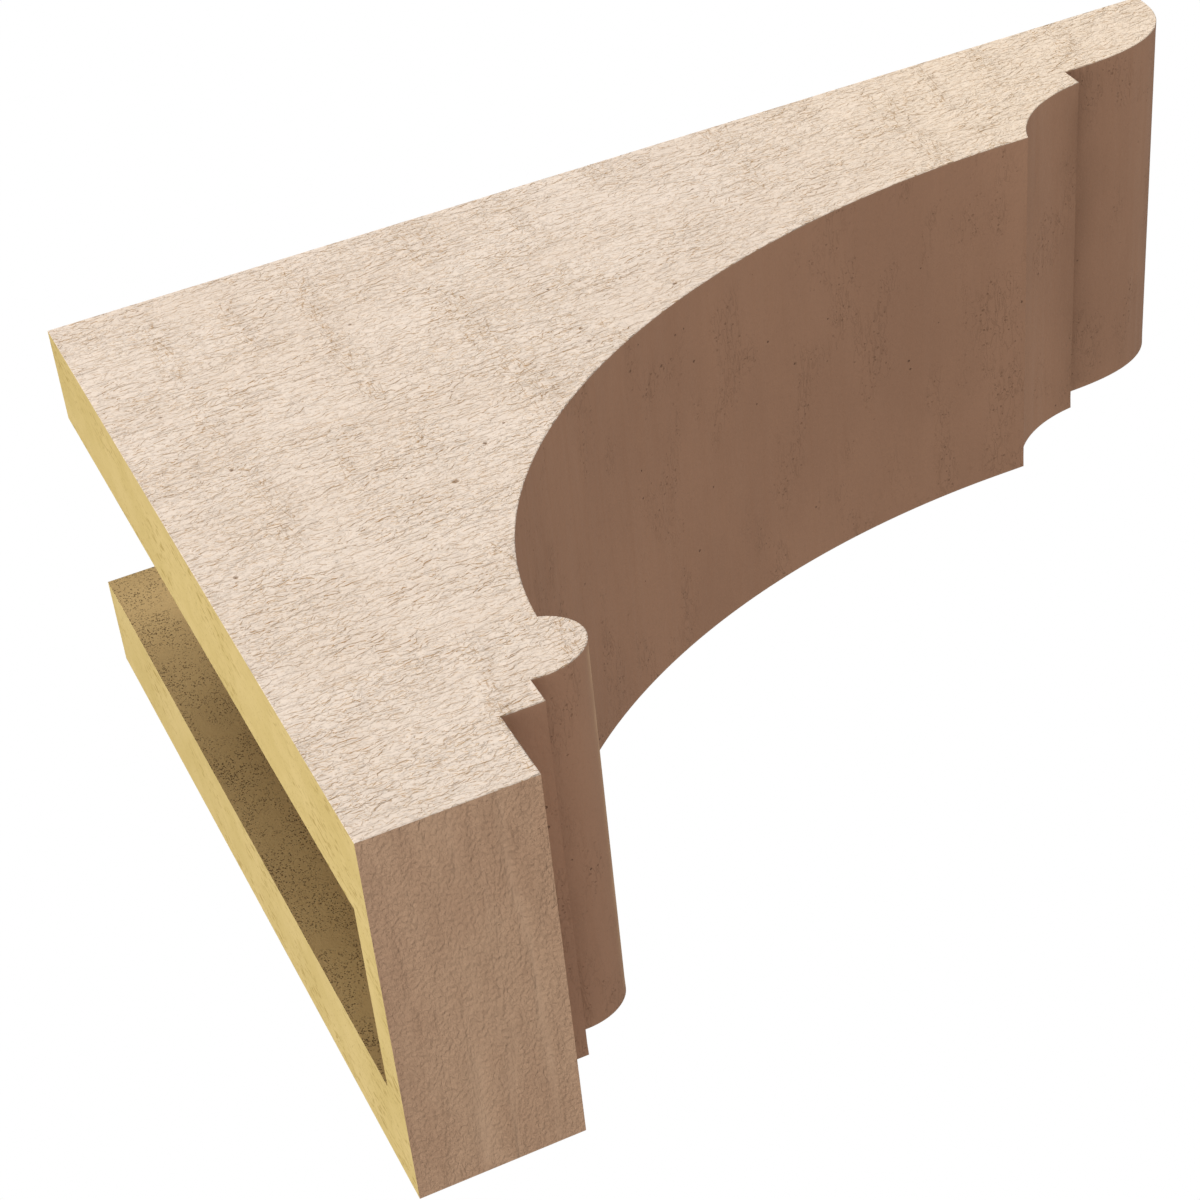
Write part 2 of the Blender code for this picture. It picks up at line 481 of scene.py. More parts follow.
def sawn_side(sign, spacing, seed):
    """One sawn side with its arris; sign is -1 for the near side and 1 for the far one."""
    points, triangles = fill(shrunk, spacing, pits(seed + 9))
    depth, deep_dark_and_shade, rough, band = saw_marks(points[:, 0], points[:, 1], seed)
    from_edge = edge_distance(points, shrunk)
    depth = depth * (0.4 + 0.6 * soft_step(0, 3 * MM, from_edge))
    flat = place(sign * (WIDTH / 2 - depth), points[:, 0], points[:, 1])
    wear = 1 - soft_step(0, 4 * MM, from_edge)
    add(flat, facing(flat, triangles, (sign, 0, 0)), "sawn", deep_dark_and_shade, wear, rough, band)
    count = len(ring)
    arris = np.concatenate([flat[:count], place(sign * (WIDTH / 2 - ARRIS), ring[:, 0], ring[:, 1])])
    slope = [(i, (i + 1) % count, count + (i + 1) % count, count + i) for i in range(count)]
    if (sign < 0) != (area > 0):
        slope = [face[::-1] for face in slope]
    add(arris, slope, "sawn", np.concatenate([deep_dark_and_shade[:count], np.zeros(count)]), np.ones(2 * count),
        np.tile(rough[:count], 2), np.tile(band[:count], 2))
    print("side", sign, "points:", len(points), "deepest in mm:", round(depth.max() / MM, 2))


sawn_side(-1, NEAR_SPACING, 11)
sawn_side(1, FAR_SPACING, 57)

# %% [markdown]
# ## The moulded faces
#
# The profile was planed before the mould was taken, so its faces are nearly smooth, with faint
# streaks across the width where the cutter ran. They are one long strip: the profile's points,
# carried across the width in even steps. The bottom of the foot is rougher, pebbled like orange
# peel, with soft wavering hollows along it.

# %% Streaks and pebbles
COLUMNS = 31
ACROSS = np.linspace(-(WIDTH / 2 - ARRIS), WIDTH / 2 - ARRIS, COLUMNS)
profile_along = np.concatenate([[0], np.cumsum(np.hypot(*np.diff(profile, axis=0).T))])
PROFILE_INTO = INTO[len(back_edge) - 1:len(back_edge) - 1 + len(profile)]
HOLLOWS = ((0.44, 0.045), (0.66, 0.03), (0.82, 0.02))
# Breadth and strength of the painted shade in each inner corner of the profile.
INNER_CORNERS = {("foot", "step"): (9 * MM, 0.6), ("step", "bead"): (9 * MM, 0.45),
                 ("bead", "sweep"): (9 * MM, 0.6), ("riser", "nose"): (17 * MM, 1.0)}
# Where on the bead its painted highlight runs, and how broad it is.
HIGHLIGHT_ANGLE, HIGHLIGHT_BROAD = math.radians(14.5), 4.5 * MM


def streak_depth(along, x):
    """Faint cutter streaks and soft waves of the smooth faces."""
    fine = waves(along, x, 3.2, 70, 21)
    wide = waves(along, x, 17, 90, 22)
    return (0.12 + 0.04 * fine + 0.03 * wide) * MM


def soft_hollows(along, x):
    """Three long hollows on the bottom of the foot that come and go, from 0 to 1."""
    found = np.zeros_like(along)
    for middle, broad in HOLLOWS:
        path = FOOT_OUT * (middle + 0.06 * hills(x / (70 * MM), x * 0 + middle * 50, 25))
        breadth = FOOT_OUT * broad * (1 + 0.5 * hills(x / (25 * MM), x * 0 + middle * 70, 26))
        present = soft_step(-0.5, 0.5, hills(x / (45 * MM), x * 0 + middle * 90, 28))
        found = np.maximum(found, present * np.exp(-((along - path) / breadth) ** 2))
    return found


def pebble_depth(along, x):
    """Orange peel, and the hollows."""
    peel = waves(along, x, 2.6, 4.5, 23) + 0.5 * waves(along, x, 5, 9, 24)
    return (0.25 + 0.10 * peel + 0.24 * soft_hollows(along, x)) * MM


def corner_shade(along, x):
    """Painted shade in the inner corners of the profile, from 0 to 1."""
    corner_shading = np.zeros_like(along)
    for i, corner in enumerate(zip(profile_names, profile_names[1:]), start=1):
        if corner in INNER_CORNERS:
            breadth, amount = INNER_CORNERS[corner]
            off = (along - profile_along[i]) / breadth
            corner_shading = np.maximum(corner_shading, amount * np.exp(-off ** 2))
    return corner_shading * (0.7 + 0.3 * waves(along, x, 6, 14, 27))


def bead_highlight(along, x):
    """A painted highlight along the fullest line of the bead, from 0 to 1."""
    fullest = ellipse(BEAD_CENTRE, BEAD_HALF, HIGHLIGHT_ANGLE, HIGHLIGHT_ANGLE)[0]
    at = profile_along[np.argmin(np.hypot(*(profile - fullest).T))]
    return np.exp(-((along - at) / HIGHLIGHT_BROAD) ** 2) * (0.7 + 0.3 * hills(x / (5 * MM), along * 0 + 3, 29))


print("along the profile in mm:", round(profile_along[-1] / MM, 1), "across in steps:", COLUMNS - 1)

# %% Make the moulded strip
def moulded_strip():
    along, x = np.meshgrid(profile_along, ACROSS, indexing="ij")
    depth = np.where(along < FOOT_OUT, pebble_depth(along, x), streak_depth(along, x))
    ends = np.minimum(along, profile_along[-1] - along)
    depth = depth * soft_step(0, 4 * MM, ends)
    depth = depth * soft_step(0, 3 * MM, np.abs(along - FOOT_OUT))
    out = profile[:, None, 0] + PROFILE_INTO[:, None, 0] * depth
    down = profile[:, None, 1] + PROFILE_INTO[:, None, 1] * depth
    out[:, [0, -1]], down[:, [0, -1]] = profile[:, None, 0], profile[:, None, 1]
    points = place(x, out, down).reshape(-1, 3)
    faces = grid_faces(*x.shape, flip=area < 0)
    foot_rows = int(np.argmin(np.abs(profile_along - FOOT_OUT)))
    split = foot_rows * (COLUMNS - 1)
    wear = np.clip((np.abs(x) - ACROSS[-2]) / (ACROSS[-1] - ACROSS[-2]), 0, 1)
    # Painted shade for the inner corners.
    corner_shading = corner_shade(along, x)
    none = np.zeros_like(along)
    add(points, faces[:split], "pebbled", corner_shading, wear, none, none, soft_hollows(along, x))
    # The last value on the moulded faces is the bead's painted highlight.
    add(points, faces[split:], "moulded", corner_shading, wear, none, none, bead_highlight(along, x))
    print("moulded strip:", x.shape, "deepest in mm:", round(depth[:, 1:-1].max() / MM, 2))


moulded_strip()

# %% [markdown]
# ## The raw rim
#
# Where the mould was filled and the foam struck off flat, the casting shows its raw foam: round
# the hollow on the back, and along the two walls on top. Both rims are flat faces shaped like a
# U, so the same filling helper makes them. Their surface is nearly flat, with slight waves.

# %% Make the rims
HOLLOW_HALF = WIDTH / 2 - SIDE_WALL
HOLLOW_STEP = 7 * MM
RIM_SPACING = (5 * MM, 5 * MM)
RIM_WAVE, HOLLOW_WAVE = 0.12 * MM, 0.5 * MM
hollow_profile = chain(hollow_runs(), HOLLOW_STEP)[0]
hollow_back = walk(line((0, 0), (0, HEIGHT - SHELL)), HOLLOW_STEP)[:, 1]
hollow_top = walk(line((0, 0), (hollow_profile[-1, 0], 0)), HOLLOW_STEP)[:, 0]
hollow_across = walk(line((-HOLLOW_HALF, 0), (HOLLOW_HALF, 0)), HOLLOW_STEP)[:, 0]


def leg(u, v):
    """Points of a straight stretch without the last one; one of the two measures stands still."""
    return np.stack(np.broadcast_arrays(u, v), 1)[:-1]


def u_edge(outer, across, opening, opening_across):
    """The closed edge of a U: down one side, across the end, back up, and round the opening."""
    half = WIDTH / 2 - ARRIS
    landing = walk(line((half, 0), (HOLLOW_HALF, 0)), HOLLOW_STEP)[:, 0]
    return np.concatenate([
        leg(-half, outer), leg(across, outer[-1]), leg(half, outer[::-1]), leg(landing, 0.0),
        leg(HOLLOW_HALF, opening), leg(opening_across[::-1], opening[-1]),
        leg(-HOLLOW_HALF, opening[::-1]), leg(-landing[::-1], 0.0)])


def rim_face(edge, to_point, way):
    """A flat rim from its edge; to_point turns (across, length, depth) into a point."""
    points, triangles = fill(edge, RIM_SPACING)
    depth = RIM_WAVE * (1 + waves(points[:, 0], points[:, 1], 21, 26, 31))
    depth *= soft_step(0, 4 * MM, edge_distance(points, edge))
    placed = to_point(points[:, 0], points[:, 1], depth)
    add(placed, facing(placed, triangles, way), "rim")
    print("rim facing", way, "has", len(triangles), "triangles")


rim_face(u_edge(back_edge[:, 1], ACROSS, hollow_back, hollow_across),
         lambda x, down, depth: np.stack([x, -depth, TOP - down], 1), (0, 1, 0))
rim_face(u_edge(top_edge[::-1, 0], ACROSS, hollow_top, hollow_across),
         lambda x, out, depth: np.stack([x, -out, TOP - depth], 1), (0, 0, 1))

# %% [markdown]
# ## The hollow
#
# Inside, the shell follows the profile at an even thickness. The hollow has two flat walls, filled
# like the sides but with few points, and a front that is a strip like the moulded one. Blown foam
# is never flat, so the walls are pushed about a little.

# %% Make the hollow
def hollow_walls():
    edge = np.concatenate([leg(0.0, hollow_back), hollow_profile[:-1], leg(hollow_top[::-1], 0.0)])
    points, triangles = fill(edge, (HOLLOW_STEP, HOLLOW_STEP))
    wave = HOLLOW_WAVE * (1 + waves(points[:, 0], points[:, 1], 30, 24, 41))
    wave *= soft_step(0, 12 * MM, edge_distance(points, edge))
    for sign in (-1, 1):
        placed = place(sign * (HOLLOW_HALF + wave), points[:, 0], points[:, 1])
        add(placed, facing(placed, triangles, (-sign, 0, 0)), "hollow")
    print("hollow walls:", 2 * len(triangles), "triangles")


def hollow_front():
    out, x = np.meshgrid(hollow_profile[:, 0], hollow_across, indexing="ij")
    down = np.broadcast_to(hollow_profile[:, 1:], x.shape)
    add(place(x, out, down).reshape(-1, 3), grid_faces(*x.shape, flip=area > 0), "hollow")
    print("hollow front:", x.shape)


hollow_walls()
hollow_front()

# %% [markdown]
# ## One closed skin
#
# All the faces become one mesh. Points that lie on each other are welded, which closes it, and
# edges at real corners stay sharp. A count of open edges tells whether every face met its
# neighbours.

# %% Weld the skin
WELD = 0.02 * MM
SHARP_ANGLE = math.radians(38.0)


def weld_skin(name):
    mesh = bpy.data.meshes.new(name)
    mesh.from_pydata(np.concatenate(skin["points"]).tolist(), [], skin["faces"])
    mesh.polygons.foreach_set("material_index", skin["finish"])
    for value in KEPT_VALUES:
        kept = mesh.attributes.new(value, "FLOAT", "POINT")
        kept.data.foreach_set("value", np.concatenate(skin[value]))
    work = bmesh.new()
    work.from_mesh(mesh)
    loose = [v for v in work.verts if not v.link_faces]
    bmesh.ops.delete(work, geom=loose, context="VERTS")
    bmesh.ops.remove_doubles(work, verts=work.verts, dist=WELD)
    open_edges = sum(1 for e in work.edges if len(e.link_faces) != 2)
    print("triangles:", sum(len(f.verts) - 2 for f in work.faces), "open or shared edges:", open_edges,
          "volume in litres:", round(work.calc_volume(signed=True) * 1000, 3))
    work.to_mesh(mesh)
    work.free()
    mesh.shade_smooth()
    mesh.set_sharp_from_angle(angle=SHARP_ANGLE)
    made = bpy.data.objects.new(name, mesh)
    bpy.context.scene.collection.objects.link(made)
    return made


corbel = weld_skin("corbel_skin")
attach(corbel, "root")
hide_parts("corbel")

# %% [markdown]
# ## Effects that several finishes share
#
# Primer and foam have the same kinds of detail in different strengths: grain drawn out one way,
# small holes or specks, and slow drifts between two tones. Each is built once as a node group with
# named inputs, and each finish sets its own values. The coordinates are the corbel's own, in
# metres, so a scale of 500 gives detail about 2 mm across.

# %% Node helpers
def put(tree, kind, **settings):
    """Adds a node; settings named after its attributes are set on it."""
    made = tree.nodes.new(kind)
    for name, value in settings.items():
        setattr(made, name, value)
    return made


def join(tree, source, target):
    """Links a socket to another, or sets a plain value on it."""
    if isinstance(source, bpy.types.NodeSocket):
        tree.links.new(source, target)
    else:
        target.default_value = source


def calculate(tree, operation, first, second=0.0):
    made = put(tree, "ShaderNodeMath", operation=operation)
    join(tree, first, made.inputs[0])
    join(tree, second, made.inputs[1])
    return made.outputs[0]


def times(tree, first, second):
    return calculate(tree, "MULTIPLY", first, second)


def total(tree, *terms):
    """The sum of terms, each a value and its weight."""
    parts = [times(tree, value, weight) for value, weight in terms]
    while len(parts) > 1:
        parts[:2] = [calculate(tree, "ADD", *parts[:2])]
    return parts[0]


def blend(tree, amount, below, above):
    """The colour below, covered by the colour above as far as amount says."""
    made = put(tree, "ShaderNodeMix", data_type="RGBA")
    join(tree, amount, made.inputs["Factor"])
    join(tree, below, made.inputs[6])
    join(tree, above, made.inputs[7])
    return made.outputs[2]


def remap(tree, value, low, high, to_low=0.0, to_high=1.0):
    made = put(tree, "ShaderNodeMapRange", interpolation_type="SMOOTHSTEP")
    for number, given in enumerate((value, low, high, to_low, to_high)):
        join(tree, given, made.inputs[number])
    return made.outputs[0]


def new_group(name, inputs, outputs, gives=1):
    """An empty node group on coordinates; 1, 3 or 4 numbers in a value make a number, vector or colour."""
    group = bpy.data.node_groups.new(name, "ShaderNodeTree")
    group.interface.new_socket(name="Coordinates", in_out="INPUT", socket_type=SOCKETS[3])
    for label, value in inputs.items():
        kind = SOCKETS[np.size(value)]
        group.interface.new_socket(name=label, in_out="INPUT", socket_type=kind).default_value = value
    for label in outputs:
        group.interface.new_socket(name=label, in_out="OUTPUT", socket_type=SOCKETS[gives])
    print(name, "takes", ["Coordinates", *inputs], "and gives", outputs)
    return group, put(group, "NodeGroupInput").outputs, put(group, "NodeGroupOutput").inputs


def stretched(tree, given):
    """A group's coordinates, scaled apart along X, Y and Z by its stretch."""
    made = put(tree, "ShaderNodeVectorMath", operation="MULTIPLY")
    join(tree, given["Coordinates"], made.inputs[0])
    join(tree, given["Stretch"], made.inputs[1])
    return made.outputs[0]


def cloudy(tree, where, detail, bend=0.0, roughness=0.5):
    """A noise from 0 to 1 at the given coordinates."""
    made = put(tree, "ShaderNodeTexNoise")
    for name, value in (("Vector", where), ("Scale", 1.0), ("Detail", detail), ("Distortion", bend),
                        ("Roughness", roughness)):
        join(tree, value, made.inputs[name])
    return made.outputs["Fac"]


def use(tree, group, **values):
    """Places a group in a material; a value's underscores stand for spaces in the input's name."""
    made = put(tree, "ShaderNodeGroup", node_tree=group)
    for name, value in values.items():
        join(tree, value, made.inputs[name.replace("_", " ")])
    return made.outputs


SOCKETS = {1: "NodeSocketFloat", 3: "NodeSocketVector", 4: "NodeSocketColor"}
print("sockets used:", list(SOCKETS.values()))

# %% [markdown]
# ## Grain
#
# Saw lines, cutter streaks and pebbles are all noise, only stretched by different amounts. The
# group scales the coordinates separately along X, Y and Z, takes a noise and sharpens it between
# two limits. The plain noise also comes out, for bumps and slow changes of gloss.

# %% Group for grain
GRAIN, given, out = new_group(
    "Stretched grain", {"Stretch": (100.0, 100.0, 100.0), "Bend": 0.3, "Low": 0.45, "High": 0.65},
    ["Lines", "Plain"])
noise = cloudy(GRAIN, stretched(GRAIN, given), 3.0, given["Bend"])
join(GRAIN, remap(GRAIN, noise, given["Low"], given["High"]), out["Lines"])
join(GRAIN, noise, out["Plain"])

# %% [markdown]
# ## Creases
#
# Primer dries with fine cracks and, where it lies dry, with the thin valleys of orange peel. Both are
# well under a millimetre wide, too fine for the mesh, but they follow the same rule as the creases
# in it: thin lines where a bent noise crosses its middle. The distance from the middle comes out
# too: as a height it gives rounded folds with sharp valleys between.

# %% Group for creases
CREASE, given, out = new_group(
    "Fine creases", {"Stretch": (300.0, 200.0, 450.0), "Bend": 0.8, "Width": 0.05},
    ["Creases", "Folds"])
noise = cloudy(CREASE, stretched(CREASE, given), 2.0, given["Bend"])
off = calculate(CREASE, "ABSOLUTE", calculate(CREASE, "SUBTRACT", noise, 0.5))
join(CREASE, remap(CREASE, off, 0.0, given["Width"], 1.0, 0.0), out["Creases"])
join(CREASE, times(CREASE, off, 4.0), out["Folds"])

# %% [markdown]
# ## Torn ledges
#
# Wood that is torn and not cut comes away in thin layers, like a map with contour lines: each layer
# ends in a small crooked ledge. The group steps a bent noise into levels. The steps come out as a
# height, and a thin line along each ledge that turns down comes out as a mask: painted shade, the
# dark line that light from above leaves under such a ledge. Which way a ledge turns is found by
# looking at the same noise a little higher up.

# %% Group for ledges
HIGHER_UP = (0.0, 0.0, 0.12)
FULL_RISE = 0.12
LEDGE, given, out = new_group(
    "Torn ledges", {"Stretch": (120.0, 100.0, 330.0), "Bend": 0.8, "Levels": 6.0, "Width": 0.2},
    ["Ledges", "Height"])
here = stretched(LEDGE, given)
above = put(LEDGE, "ShaderNodeVectorMath", operation="ADD")
join(LEDGE, here, above.inputs[0])
join(LEDGE, HIGHER_UP, above.inputs[1])
levels = [times(LEDGE, cloudy(LEDGE, where, 2.5, given["Bend"]), given["Levels"])
          for where in (here, above.outputs[0])]
step = calculate(LEDGE, "FRACT", levels[0])
climb = remap(LEDGE, step, 0.0, given["Width"])
past = remap(LEDGE, step, given["Width"], times(LEDGE, given["Width"], 2.0), 1.0, 0.0)
rising = remap(LEDGE, calculate(LEDGE, "SUBTRACT", levels[1], levels[0]), 0.0, FULL_RISE)
line_mask = times(LEDGE, climb, past)
# Painted shade: only ledges that turn down, away from the light above, get a dark line.
join(LEDGE, times(LEDGE, line_mask, rising), out["Ledges"])
terrace = calculate(LEDGE, "ADD", calculate(LEDGE, "FLOOR", levels[0]), climb)
join(LEDGE, total(LEDGE, (terrace, 0.5), (levels[0], 0.5)), out["Height"])

# %% [markdown]
# ## Holes and specks
#
# Foam has bubbles and paint catches dust, both as small round spots of mixed size. A cell pattern
# gives one centre to each cell; a spot is drawn round it, with a size that the cell's random
# colour decides, so that many cells have none.

# %% Group for spots
SPOTS, given, out = new_group(
    "Small round spots", {"Per metre": 300.0, "Size": 0.3, "Share": 0.3}, ["Spots"])
cells = put(SPOTS, "ShaderNodeTexVoronoi")
join(SPOTS, given["Coordinates"], cells.inputs["Vector"])
join(SPOTS, given["Per metre"], cells.inputs["Scale"])
chance = put(SPOTS, "ShaderNodeSeparateColor")
join(SPOTS, cells.outputs["Color"], chance.inputs[0])
picked = calculate(SPOTS, "LESS_THAN", chance.outputs[0], given["Share"])
reach = times(SPOTS, calculate(SPOTS, "ADD", chance.outputs[1], 0.25), given["Size"])
near = calculate(SPOTS, "DIVIDE", cells.outputs["Distance"], reach)
spot = remap(SPOTS, near, 0.7, 1.0, 1.0, 0.0)
join(SPOTS, times(SPOTS, spot, picked), out["Spots"])

# %% [markdown]
# ## Drifting tone
#
# Nothing sprayed or cast has one even colour. This group drifts slowly between two tones, in
# patches that can be drawn out one way like the grain.

# %% Group for tone
TONE, given, out = new_group(
    "Drifting tone", {"Stretch": (10.0, 10.0, 10.0), "First": (0.5, 0.5, 0.5, 1.0),
                      "Second": (0.4, 0.4, 0.4, 1.0)}, ["Colour"], gives=4)
patch = remap(TONE, cloudy(TONE, stretched(TONE, given), 4.0, roughness=0.6), 0.34, 0.66)
join(TONE, blend(TONE, patch, given["First"], given["Second"]), out["Colour"])

# %% [markdown]
# ## A start for every finish
#
# Each finish is a Principled shader with a bump in front of its normal. The bump's distance is a
# real height in metres, so the finish stays true at any size of picture. Colours are written as
# they would be picked from a colour chart, and turned into light values here.

# %% Start a finish
def light(red, green, blue):
    """A colour from chart values of 0 to 255, as linear light."""
    shares = [c / 255 for c in (red, green, blue)]
    return tuple(s / 12.92 if s <= 0.04045 else ((s + 0.055) / 1.055) ** 2.4 for s in shares) + (1.0,)


def new_finish(name):
    """(material, its tree, its shader) of an empty finish, and what places a group on it."""
    made = bpy.data.materials.new(name)
    made.use_nodes = True
    tree = made.node_tree
    shader = tree.nodes["Principled BSDF"]
    shader.inputs["Metallic"].default_value = 0.0
    shader.inputs["Specular IOR Level"].default_value = 0.2
    where = put(tree, "ShaderNodeTexCoord").outputs["Object"]
    return made, tree, shader, partial(use, tree, Coordinates=where)


def kept_value(tree, name):
    """A value stored on the mesh's points."""
    return put(tree, "ShaderNodeAttribute", attribute_name=name).outputs["Fac"]


def cover(tree, colour, *coats):
    """A colour under coats, the lowest first; each is its mask, how strong it is, and its colour."""
    for mask, strength, chart in coats:
        colour = blend(tree, times(tree, mask, strength), colour, light(*chart))
    return colour


def dress(tree, shader, colour, roughness, height, distance):
    """Gives a shader its colour, its roughness and a bump; distance is a height of 1, in metres."""
    bump = put(tree, "ShaderNodeBump")
    bump.inputs["Strength"].default_value = 1.0
    bump.inputs["Distance"].default_value = distance
    join(tree, height, bump.inputs["Height"])
    for value, name in ((colour, "Base Color"), (roughness, "Roughness"), (bump.outputs["Normal"], "Normal")):
        join(tree, value, shader.inputs[name])


print("mid grey 128 is", round(light(128, 128, 128)[0], 3), "in linear light")

# %% [markdown]
# ## Primer on the sawn sides
#
# The primer on the sides is painted paler than the same primer on the curved faces: painted light,
# for the strong lamp on this side. The colour follows the relief: a value stored on the mesh
# darkens the deep places, the pits and the torn creases, and finer torn edges, too small for the
# mesh, come from the ledge group as a bump and as painted shade lines along the edges that turn
# down, away from the light above. Toward the nose the primer is a little warmer.

# %% Sawn primer
WARMER_FROM, WARMEST_AT = -0.30, -0.50


def sawn_finish():
    made, tree, shader, layer = new_finish("Sawn primer")
    rough, band = kept_value(tree, "rough"), kept_value(tree, "band")
    # Painted light: both tones are paler than the primer itself, for the light on the sides.
    tone = layer(TONE, Stretch=(12.0, 14.0, 30.0),
                 First=light(240, 226, 212), Second=light(236, 221, 206))["Colour"]
    reach = put(tree, "ShaderNodeSeparateXYZ")
    join(tree, put(tree, "ShaderNodeTexCoord").outputs["Object"], reach.inputs[0])
    torn = layer(LEDGE, Stretch=(120.0, 75.0, 260.0), Bend=0.9, Levels=6.0, Width=0.18)
    small = layer(LEDGE, Stretch=(300.0, 230.0, 520.0), Bend=0.9, Levels=4.0, Width=0.25)
    cross = layer(LEDGE, Stretch=(60.0, 340.0, 60.0), Bend=0.35, Levels=4.0, Width=0.2)
    crack = layer(LEDGE, Stretch=(60.0, 70.0, 220.0), Bend=0.5, Levels=3.0, Width=0.05)
    patch = layer(GRAIN, Stretch=(30.0, 26.0, 45.0), Low=0.42, High=0.62)["Lines"]
    rare = layer(GRAIN, Stretch=(30.0, 40.0, 30.0), Low=0.60, High=0.66)["Lines"]
    peel = layer(GRAIN, Stretch=(900.0, 900.0, 1100.0))["Plain"]
    # The struck and crack lines come from ledge masks too, so they are painted shade lines as well.
    struck_shade = times(tree, cross["Ledges"], remap(tree, band, 0.15, 0.8, 0.0, 0.6))
    struck_shade = calculate(tree, "MAXIMUM", struck_shade, times(tree, crack["Ledges"], rare))
    # The last coat darkens the pits and the torn creases by the value stored on the mesh.
    colour = cover(tree, tone,
                   (remap(tree, reach.outputs["Y"], WARMER_FROM, WARMEST_AT), 0.8, (246, 229, 208)),
                   (torn["Ledges"], remap(tree, patch, 0.0, 1.0, 0.6, 1.0), (172, 130, 78)),
                   (small["Ledges"], remap(tree, rough, 0.2, 1.0, 0.5, 1.0), (200, 162, 110)),
                   (struck_shade, 1.0, (180, 140, 90)),
                   (kept_value(tree, "deep_dark_and_shade"), 0.8, (146, 112, 76)))
    height = total(tree, (torn["Height"], remap(tree, patch, 0.0, 1.0, 0.30, 0.46)),
                   (small["Height"], remap(tree, rough, 0.0, 1.0, 0.24, 0.46)),
                   (cross["Height"], remap(tree, band, 0.2, 0.9, 0.0, 0.16)), (peel, 0.12))
    dress(tree, shader, colour, remap(tree, peel, 0.3, 0.7, 0.66, 0.84), height, 1.0 * MM)
    return made


sawn_primer = sawn_finish()
print(sawn_primer.name, "has", len(sawn_primer.node_tree.nodes), "nodes")

# %% [markdown]
# ## Primer on the moulded faces
#
# Here the primer lies on smooth foam. It is painted browner and darker than on the sides, for the
# shade these downward faces lie in, and it is more even, with faint streaks across the width from
# the planing of the master, a few dust specks, and edges rubbed paler by handling. The inner
# corners are painted darker, for the shade in them, and a thin pale line along the fullest part of
# the bead is a painted highlight.

# %% Moulded primer
def moulded_finish():
    made, tree, shader, layer = new_finish("Moulded primer")
    shader.inputs["Specular IOR Level"].default_value = 0.25
    # Painted shade: both tones are the primer of the sides, made darker and browner.
    tone = layer(TONE, Stretch=(7.0, 16.0, 16.0),
                 First=light(180, 140, 114), Second=light(173, 134, 109))["Colour"]
    streak = layer(GRAIN, Stretch=(9.0, 240.0, 240.0), Bend=0.1, Low=0.54, High=0.8)
    patch = layer(GRAIN, Stretch=(16.0, 42.0, 42.0), Low=0.46, High=0.66)["Lines"]
    fine = layer(GRAIN, Stretch=(300.0, 420.0, 420.0))["Plain"]
    pore = layer(SPOTS, Per_metre=460.0, Size=0.3, Share=0.45)["Spots"]
    speck = layer(SPOTS, Per_metre=190.0, Size=0.13, Share=0.12)["Spots"]
    crack = layer(CREASE, Stretch=(90.0, 300.0, 300.0), Bend=0.9, Width=0.035)["Creases"]
    marks = calculate(tree, "MAXIMUM", pore, times(tree, crack, 0.45))
    marks = times(tree, marks, remap(tree, patch, 0.0, 1.0, 0.08, 0.6))
    wear = remap(tree, kept_value(tree, "wear"), 0.8, 1.0)
    # Painted highlight: the pale line on the bead, its strength varied by the streaks.
    highlight_strength = remap(tree, streak["Plain"], 0.3, 0.6, 0.6, 1.0)
    # On these faces the stored value of the dark coat is painted shade in the inner corners.
    colour = cover(tree, tone, (streak["Lines"], 0.10, (165, 126, 100)), (marks, 1.0, (128, 96, 72)),
                   (speck, 0.7, (104, 78, 58)), (kept_value(tree, "deep_dark_and_shade"), 0.7, (134, 102, 80)),
                   (wear, 0.12, (205, 176, 150)), (kept_value(tree, "hollows_and_highlight"), highlight_strength, (240, 203, 160)))
    dark = calculate(tree, "MAXIMUM", speck, marks)
    height = total(tree, (fine, 1.0), (streak["Lines"], -0.2), (dark, -1.0))
    dress(tree, shader, colour, remap(tree, streak["Plain"], 0.3, 0.7, 0.60, 0.72), height, 0.4 * MM)
    return made


moulded_primer = moulded_finish()
print(moulded_primer.name, "has", len(moulded_primer.node_tree.nodes), "nodes")

# %% [markdown]
# ## Primer on the bottom of the foot
#
# The bottom got a lighter, drier coat than the curves, but its tones too are painted darker than
# the sides', for the shade on a face that looks down. Its orange peel is in the mesh where it is
# big enough to see, and a finer peel is added as a bump. Along the soft hollows, which the mesh
# keeps in the same value as the bead's painted highlight, the coat is a little paler and its peel
# half as high.

# %% Pebbled primer
def pebbled_finish():
    made, tree, shader, layer = new_finish("Pebbled primer")
    hollows_and_highlight = kept_value(tree, "hollows_and_highlight")
    # Painted shade: both tones are darker than the primer of the sides, for the shade on this downward face.
    tone = layer(TONE, Stretch=(16.0, 45.0, 45.0),
                 First=light(216, 180, 150), Second=light(207, 170, 141))["Colour"]
    peel = layer(CREASE, Stretch=(190.0, 300.0, 300.0), Bend=0.3, Width=0.06)
    fine = layer(GRAIN, Stretch=(400.0, 560.0, 560.0), Bend=0.2)["Plain"]
    wave = layer(GRAIN, Stretch=(26.0, 130.0, 130.0), Bend=0.6, Low=0.45, High=0.75)
    speck = layer(SPOTS, Per_metre=240.0, Size=0.12, Share=0.12)["Spots"]
    colour = cover(tree, tone, (peel["Creases"], 0.05, (176, 140, 112)),
                   (wave["Lines"], 0.3, (190, 155, 128)),
                   (hollows_and_highlight, 0.18, (222, 195, 168)), (speck, 0.5, (130, 100, 76)))
    pebbles = total(tree, (fine, 1.0), (peel["Folds"], 0.12))
    height = total(tree, (pebbles, remap(tree, hollows_and_highlight, 0.0, 1.0, 1.0, 0.5)), (wave["Plain"], 1.4))
    dress(tree, shader, colour, remap(tree, wave["Plain"], 0.3, 0.7, 0.60, 0.75), height, 2.3 * MM)
    return made


pebbled_primer = pebbled_finish()
print(pebbled_primer.name, "has", len(pebbled_primer.node_tree.nodes), "nodes")
